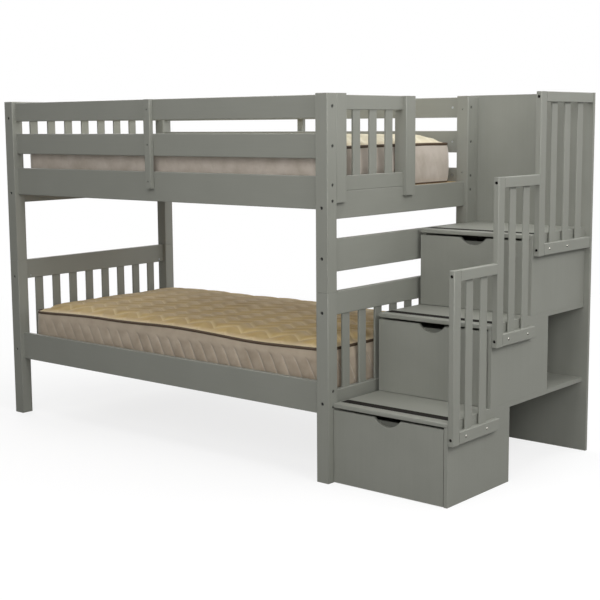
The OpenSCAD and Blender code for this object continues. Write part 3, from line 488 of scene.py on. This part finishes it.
def make_mattress(level, seed, knit, ticking, seam_height, swell, seam_in, sewing, used):
    """One mattress. The border swells by swell, its seams lie seam_in from the CAD piece's sides, sewing is
    the depth of its waves, and used is 1 for the worn mattress."""
    low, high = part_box(level + "_mattress")
    length, width = high.x - low.x - 2 * seam_in, high.y - low.y - 2 * seam_in
    middle = (low + high) / 2
    crown = high.z - low.z - seam_height
    x, y, inset, rim, cells = top_outline(length, width)
    reach = np.clip(inset / (0.3 * width), 0, 1) ** 0.5
    from_corner = np.maximum(length / 2 - np.abs(x), width / 2 - np.abs(y))
    droop = np.sin(math.pi / 2 * np.clip(from_corner / DROOP, 0, 1)) ** 0.8
    lift = seam_height + crown * droop * np.sin(math.pi / 2 * reach ** 0.7)
    lift += LUMPS * reach * np.array([noise.noise((a * 2.6, b * 3.2, seed)) for a, b in zip(x, y)])
    lift += used * tape_sway(x, length) * np.clip(1 - inset / (250 * MM), 0, 1)
    points = [np.stack([x, y, lift], -1)]
    count, first = len(rim), len(x)
    out = rim_outward(x[rim], y[rim], length, width)
    faces, ring = list(cells), list(rim)
    for row in range(1, BORDER_ROWS + 1):
        t = 1 - row / BORDER_ROWS
        flat = np.stack([x[rim], y[rim]], -1) + out * swell * max(math.sin(math.pi * t), 0) ** 0.5
        points.append(np.column_stack([flat, t * (seam_height + used * tape_sway(x[rim], length))]))
        below = list(range(first, first + count))
        faces += [(ring[k], below[k], below[(k + 1) % count], ring[(k + 1) % count]) for k in range(count)]
        ring, first = below, first + count
    points = np.vstack(points)
    shell = new_piece(level + "_mattress_cover", points, faces, knit)
    press_out(shell, [(1.0, ring), (0.7, rim)])
    points = np.array([v.co for v in shell.data.vertices])
    ripple = np.array([noise.noise((p[0] * 3.5, p[1] * 3.5, seed + 5)) for p in points])
    points[:, 2] += RIPPLE * ripple * np.clip(points[:, 2] / seam_height, 0, 1) ** 2
    shell.data.vertices.foreach_set("co", points.ravel())
    for polygon in shell.data.polygons[len(cells):]:
        polygon.material_index = 1
    shell.data.materials.append(ticking)
    subdivide(shell, [rim, ring])

    # Quilting: the seams pull the cover in and the filling stands between them
    fine = shell.data
    co = np.array([v.co for v in fine.vertices])
    normals = np.array([v.normal for v in fine.vertices])
    edge = np.minimum(length / 2 - np.abs(co[:, 0]), width / 2 - np.abs(co[:, 1]))
    dx, dy = np.abs(co[:, 0]) - (length / 2 - CORNER), np.abs(co[:, 1]) - (width / 2 - CORNER)
    edge = np.where((dx > 0) & (dy > 0), CORNER - np.hypot(dx, dy), edge)
    on_top = np.zeros(len(co), bool)
    on_top[[v for p in fine.polygons if p.material_index == 0 for v in p.vertices]] = True
    fade = np.clip((edge - 6 * MM) / (30 * MM), 0, 1)
    puff = zigzag_depth(co[:, 0] + middle.x, co[:, 1] + middle.y)
    lain_flat = 1 - 0.5 * used * np.clip((co[:, 1] + 80 * MM) / (300 * MM), 0, 1)   # over the rear half
    push = np.where(on_top, -PUFF * (1 - puff) ** 1.7 * fade * lain_flat, 0)
    along, whole = round_the_border(co[:, 0], co[:, 1], length, width)
    lane = wave_lane(along, whole, co[:, 2])
    band = np.clip((seam_height - PLAIN_BAND - co[:, 2]) / (14 * MM), 0, 1)
    band *= np.clip(co[:, 2] / (20 * MM), 0, 1)
    from_far_end = co[:, 0] + length / 2
    band *= 1 - 0.55 * used * np.clip((900 * MM - from_far_end) / (600 * MM), 0, 1)
    push = np.where(on_top, push, -sewing * (1 - np.abs(lane % 1 - 0.5) * 2) ** 3 * band)
    co += normals * push[:, None]

    # The thread follows the same lanes, counted on past the corner where they began
    lanes = round(whole / WAVE_PITCH)
    corners = lane[[loop.vertex_index for loop in fine.loops]]
    begin = np.repeat(corners[[p.loop_start for p in fine.polygons]], [p.loop_total for p in fine.polygons])
    corners -= lanes * np.round((corners - begin) / lanes)
    fine.attributes.new("wave_lane", "FLOAT", "CORNER").data.foreach_set("value", corners)
    fine.attributes.new("wave_band", "FLOAT", "POINT").data.foreach_set("value", band)
    fine.attributes.new("from_seam", "FLOAT", "POINT").data.foreach_set("value", edge)
    fine.attributes.new("quilt_depth", "FLOAT", "POINT").data.foreach_set("value", lain_flat)
    here = np.array([middle.x, middle.y, low.z])
    co += here
    fine.vertices.foreach_set("co", co.ravel())

    # The base is one flat sheet that lies on the slats
    rim_line, base_line = points[rim], points[ring]
    for _ in range(SUBDIVISIONS):
        rim_line, base_line = refine(rim_line), refine(base_line)
    rim_line += here
    base_line += here
    cover_tape = tape_beads(level + "_mattress_tape",
                            [(rim_line, TAPE_HALF_HEIGHT),
                             (base_line + np.array([0, 0, BASE_TAPE_UP]), BASE_TAPE_HALF_HEIGHT)], tape)
    base = new_piece(level + "_mattress_base", base_line + np.array([0, 0, BASE_UP]),
                     [tuple(range(len(base_line)))[::-1]], ticking)
    for piece in (shell, cover_tape, base):
        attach(piece, "frame")
    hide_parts(level + "_mattress")


make_mattress("lower", 11.0, gold_knit, taupe_ticking, seam_height=180 * MM, swell=6 * MM,
              seam_in=6 * MM, sewing=3 * MM, used=1.0)
make_mattress("upper", 4.0, cream_knit, pale_ticking, seam_height=170 * MM, swell=9 * MM,
              seam_in=11 * MM, sewing=0.6 * MM, used=0.0)


# Staircase case
# Side panels, dividers and rear panels of 16 mm fibreboard, edged and sprayed
# grey. The board is dense and even, so only the spray's faint mottle shows.
def lacquered_fibreboard(name, shaded, clear):
    material = blank("lacquered_fibreboard_" + name)
    place = add(material, "ShaderNodeTexCoord")
    rolled = add(material, "ShaderNodeMapping", {"Scale": (1 / (9 * MM), 1 / (9 * MM), 1 / (320 * MM))},
                 Vector=place.outputs["Object"])
    lines = add(material, "ShaderNodeTexNoise", {"Scale": 1.0, "Detail": 3.0}, Vector=rolled.outputs[0])
    mottle = add(material, "ShaderNodeTexNoise", {"Scale": 1 / (180 * MM), "Detail": 3.0},
                 Vector=place.outputs["Object"])
    peel = add(material, "ShaderNodeTexNoise", {"Scale": 1 / (3 * MM), "Detail": 1.0},
               Vector=place.outputs["Object"])
    tone = add(material, "ShaderNodeMath", {"operation": "MULTIPLY_ADD", 1: 0.4},
               i0=lines.outputs[0], i2=mottle.outputs[0])
    paint = add(material, "ShaderNodeValToRGB", None, Fac=tone.outputs[0])
    paint.color_ramp.elements[0].position = 0.5
    paint.color_ramp.elements[0].color = srgb(shaded)
    paint.color_ramp.elements[1].position = 0.9
    paint.color_ramp.elements[1].color = srgb(clear)
    gloss = add(material, "ShaderNodeMapRange", {"To Min": 0.46, "To Max": 0.56}, Value=mottle.outputs[0])
    relief = add(material, "ShaderNodeBump", {"Strength": 0.25, "Distance": 0.08 * MM},
                 Height=peel.outputs[0])
    skin = add(material, "ShaderNodeBsdfPrincipled", {"IOR": 1.5, "Specular IOR Level": 0.3},
               Base_Color=paint.outputs[0], Roughness=gloss.outputs[0], Normal=relief.outputs[0])
    return close(material, skin)


fibreboard = lacquered_fibreboard("grey", PAINT_SHADE, PAINT_GREY)
for board in ("stair_left_panels", "stair_right_panel_1", "stair_right_panel_2", "stair_right_panel_3",
              "case_dividers", "rear_panel_lower", "rear_panel_upper"):
    dress(board, fibreboard, 0.8)
dress("rear_batten", pine_upright, 1.0)

# Treads and their strips
# Each tread is one pine board with a rounded nose that runs back as a shelf.
# A dark grained rubber strip is glued into a shallow groove behind the nose.
for step in (1, 2, 3):
    dress(f"tread_{step}", pine_lengthwise, 0.8)


# Grained rubber: near black, matt, with grit 1.5 mm across drawn 2.5 mm wide.
def grained_rubber():
    material = blank("grained_rubber_strip")
    place = add(material, "ShaderNodeTexCoord")
    grit = add(material, "ShaderNodeTexVoronoi", {"Scale": 1 / (2.5 * MM)}, Vector=place.outputs["Object"])
    tint = add(material, "ShaderNodeValToRGB", None, Fac=grit.outputs[0])
    tint.color_ramp.elements[0].color = srgb("#1d1a17")
    tint.color_ramp.elements[1].color = srgb("#0f0e0c")
    relief = add(material, "ShaderNodeBump", {"Strength": 0.6, "Distance": 0.5 * MM}, Height=grit.outputs[0])
    rubber = add(material, "ShaderNodeBsdfPrincipled", {"Roughness": 0.9, "Specular IOR Level": 0.15},
                 Base_Color=tint.outputs[0], Normal=relief.outputs[0])
    return close(material, rubber)


dress("anti_slip_strips", grained_rubber())

# Stair guards
# An upright on each step, joined by rails along the stair, with flat slats
# between them: solid pine with the same eased edges and lacquer as the bed.
dress("stair_guard_uprights", pine_upright, 1.0)
dress("stair_guard_rails", pine_across, 1.0)
dress("stair_guard_slats", pine_upright)


# Drawers
# Lacquered fibreboard fronts with a finger notch sawn into the top edge, on tall
# boxes of the same board, drawn a darker grey as painted shade for the notches,
# where they show only in shadow. Zinc-plated runners carry the boxes.

# Zinc-plated sheet steel: bright, slightly blue, with a soft rolled haze.
def zinc_plate():
    material = blank("zinc_plated_steel")
    place = add(material, "ShaderNodeTexCoord")
    rolled = add(material, "ShaderNodeMapping", {"Scale": (1 / (3 * MM), 1 / (90 * MM), 1 / (3 * MM))},
                 Vector=place.outputs["Object"])
    haze = add(material, "ShaderNodeTexNoise", {"Scale": 1.0, "Detail": 3.0}, Vector=rolled.outputs[0])
    gloss = add(material, "ShaderNodeMapRange", {"To Min": 0.28, "To Max": 0.46}, Value=haze.outputs[0])
    tint = add(material, "ShaderNodeValToRGB", None, Fac=haze.outputs[0])
    tint.color_ramp.elements[0].color = srgb("#a4a9ad")
    tint.color_ramp.elements[1].color = srgb("#c3c7ca")
    metal = add(material, "ShaderNodeBsdfPrincipled", {"Metallic": 1.0},
                Base_Color=tint.outputs[0], Roughness=gloss.outputs[0])
    return close(material, metal)


zinc = zinc_plate()
# The boxes' darker grey is painted shade: they are seen only in shadow, through the notches.
notch_shade_board = lacquered_fibreboard("dark", "#5e5f59", "#62635c")
for step in (1, 2, 3):
    dress(f"drawer_{step}_front", fibreboard, 0.6)
    dress(f"drawer_{step}_box", notch_shade_board, 0.6)
    dress(f"drawer_{step}_slides", zinc)
dress("drawer_channels", zinc)


# Fasteners
# Black oxide bolts draw every rail to its post, with zinc barrel nuts in the rails
# and pine dowels in the posts. Nickel-plated and black screws hold the stair guards.
def black_oxide():
    material = blank("black_oxide_steel")
    place = add(material, "ShaderNodeTexCoord")
    patches = add(material, "ShaderNodeTexNoise", {"Scale": 1 / (5 * MM), "Detail": 2.0},
                  Vector=place.outputs["Object"])
    tint = add(material, "ShaderNodeValToRGB", None, Fac=patches.outputs[0])
    tint.color_ramp.elements[0].color = srgb("#151514")
    tint.color_ramp.elements[1].color = srgb("#242321")
    metal = add(material, "ShaderNodeBsdfPrincipled", {"Metallic": 0.2, "Roughness": 0.55},
                Base_Color=tint.outputs[0])
    return close(material, metal)


# Nickel plate: bright, smooth and a little warm, on the screws in the bottom
# rails. The faces of each head that turn downwards are painted dark, a painted
# reflection of the dark room below, and the screws in the uprights are black.
RAIL_SCREWS_FROM = 1269.5 * MM      # these heads stand further right than the others


def nickel_and_black():
    material = blank("nickel_plated_and_black_screws")
    place = add(material, "ShaderNodeTexCoord")
    wear = add(material, "ShaderNodeTexNoise", {"Scale": 1 / (4 * MM), "Detail": 2.0},
               Vector=place.outputs["Object"])
    gloss = add(material, "ShaderNodeMapRange", {"To Min": 0.16, "To Max": 0.28}, Value=wear.outputs[0])
    tint = add(material, "ShaderNodeValToRGB", None, Fac=wear.outputs[0])
    tint.color_ramp.elements[0].color = srgb("#d2cfc7")
    tint.color_ramp.elements[1].color = srgb("#e4e1da")
    spot = add(material, "ShaderNodeSeparateXYZ", None, Vector=place.outputs["Object"])
    facing = add(material, "ShaderNodeSeparateXYZ", None, Vector=place.outputs["Normal"])
    in_rail = add(material, "ShaderNodeMath", {"operation": "GREATER_THAN", 1: RAIL_SCREWS_FROM},
                  i0=spot.outputs[0])
    # Faces turning down take the dark colour: a painted dark reflection, not a coating.
    faces_not_down = add(material, "ShaderNodeMath", {"operation": "GREATER_THAN", 1: -0.1}, i0=facing.outputs[2])
    plated = add(material, "ShaderNodeMath", {"operation": "MULTIPLY"}, i0=in_rail.outputs[0],
                 i1=faces_not_down.outputs[0])
    finish = add(material, "ShaderNodeMix", {"data_type": "RGBA", 6: srgb("#2b2927")},
                 i0=plated.outputs[0], i7=tint.outputs[0])
    metal = add(material, "ShaderNodeBsdfPrincipled", {"Metallic": 1.0},
                Base_Color=finish.outputs[2], Roughness=gloss.outputs[0])
    return close(material, metal)


dress("frame_bolts", black_oxide())
dress("barrel_nuts", zinc)
dress("guard_screws", nickel_and_black())
dress("post_dowels", sawn_pine("z"))

# Studio
# A pale floor, white all round, and nine soft lamps: overhead, high at the front,
# rear, left and right, two near the stairs, and two low ones, behind the camera
# and at the rear, that reach into the lower bunk. The camera stands as in the photo.
FLOOR_SIDE = 60.0
floor_mesh = bpy.data.meshes.new("floor")
floor_mesh.from_pydata([(x * FLOOR_SIDE / 2, y * FLOOR_SIDE / 2, 0)
                        for x, y in ((-1, -1), (1, -1), (1, 1), (-1, 1))], [], [(0, 1, 2, 3)])
floor = bpy.data.objects.new("floor", floor_mesh)
bpy.context.scene.collection.objects.link(floor)
# The paper is white in the picture but gives little light back to the bed, and
# past the lamps' reach it glows as brightly as the white behind it.
paper = blank("pale_floor_paper")
seen = add(paper, "ShaderNodeLightPath")
tone = add(paper, "ShaderNodeMapRange", {"To Min": 0.25, "To Max": 0.92}, Value=seen.outputs["Is Camera Ray"])
spot = add(paper, "ShaderNodeTexCoord")
reach = add(paper, "ShaderNodeVectorMath", {"operation": "LENGTH"}, i0=spot.outputs["Object"])
lit = add(paper, "ShaderNodeMapRange", {"From Min": 1.8, "From Max": 5.0, "To Min": 0.78, "To Max": 1.0},
          Value=reach.outputs["Value"])
direct = add(paper, "ShaderNodeMath", {"operation": "MULTIPLY"}, i0=seen.outputs["Is Camera Ray"],
             i1=lit.outputs[0])
matt = add(paper, "ShaderNodeBsdfDiffuse", None, Color=tone.outputs[0])
glow = add(paper, "ShaderNodeEmission", {"Color": (1, 1, 1, 1), "Strength": 1.0})
mixed = add(paper, "ShaderNodeMixShader", None, Fac=direct.outputs[0], i1=matt.outputs[0], i2=glow.outputs[0])
floor_mesh.materials.append(close(paper, mixed))

sky = bpy.data.worlds.new("studio")
bpy.context.scene.world = sky
sky.use_nodes = True
sky.node_tree.nodes.clear()
ray = add(sky, "ShaderNodeLightPath")
seen_or_mirrored = add(sky, "ShaderNodeMath", {"operation": "MAXIMUM"},
                       i0=ray.outputs["Is Camera Ray"], i1=ray.outputs["Is Glossy Ray"])
open_view = add(sky, "ShaderNodeMath", {"operation": "MAXIMUM"},
                i0=seen_or_mirrored.outputs[0], i1=ray.outputs["Is Transmission Ray"])
level = add(sky, "ShaderNodeMapRange", {"To Min": 0.08, "To Max": 1.0}, Value=open_view.outputs[0])
light = add(sky, "ShaderNodeBackground", {"Color": (1, 1, 1, 1)}, Strength=level.outputs[0])
add(sky, "ShaderNodeOutputWorld", None, Surface=light.outputs[0])


def soft_lamp(name, place, aim, size, power):
    """A square lamp of this size in metres and power in watts, turned towards aim."""
    lamp = bpy.data.lights.new(name, "AREA")
    lamp.shape = "SQUARE"
    lamp.size = size
    lamp.energy = power
    holder = bpy.data.objects.new(name, lamp)
    holder.location = place
    holder.rotation_euler = (Vector(aim) - Vector(place)).to_track_quat("-Z", "Y").to_euler()
    bpy.context.scene.collection.objects.link(holder)


soft_lamp("behind_camera", (5.0, -6.2, 1.8), (0.0, 0.0, 0.8), 2.6, 156)
soft_lamp("high_front", (1.0, -5.0, 4.2), (0.3, 0.0, 0.8), 3.0, 84)
soft_lamp("near_front", (1.4, -2.4, 2.6), (1.0, 0.0, 0.7), 1.2, 10)
soft_lamp("high_right", (6.0, 0.3, 4.4), (0.3, 0.0, 0.8), 3.0, 92)
soft_lamp("high_rear", (3.6, 4.8, 4.0), (0.3, 0.0, 0.8), 3.0, 95)
soft_lamp("low_rear", (0.4, 6.2, 1.1), (-0.4, 0.0, 0.8), 2.0, 150)
soft_lamp("high_left", (-5.0, 1.2, 4.0), (0.0, 0.0, 0.8), 3.0, 125)
soft_lamp("near_stairs", (4.0, -1.0, 3.2), (0.9, 0.0, 1.2), 2.0, 62)
soft_lamp("overhead", (0.3, 0.0, 4.6), (0.3, 0.0, 0.8), 4.0, 125)

lens = bpy.data.cameras.new("camera")
lens.lens = 73.278
lens.sensor_width = 36
lens.shift_x = 0.0206
lens.shift_y = -0.0231
camera = bpy.data.objects.new("camera", lens)
eye = (3.6356, -4.2146, 1.4140)
turn, tip, lean = math.radians(40.4121), math.radians(7.5742), math.radians(-0.4831)
camera.matrix_world = (Matrix.Translation(eye) @ Matrix.Rotation(turn, 4, "Z")
                       @ Matrix.Rotation(math.pi / 2 - tip, 4, "X") @ Matrix.Rotation(lean, 4, "Z"))
bpy.context.scene.collection.objects.link(camera)
bpy.context.scene.camera = camera
bpy.context.scene.view_settings.view_transform = "Standard"
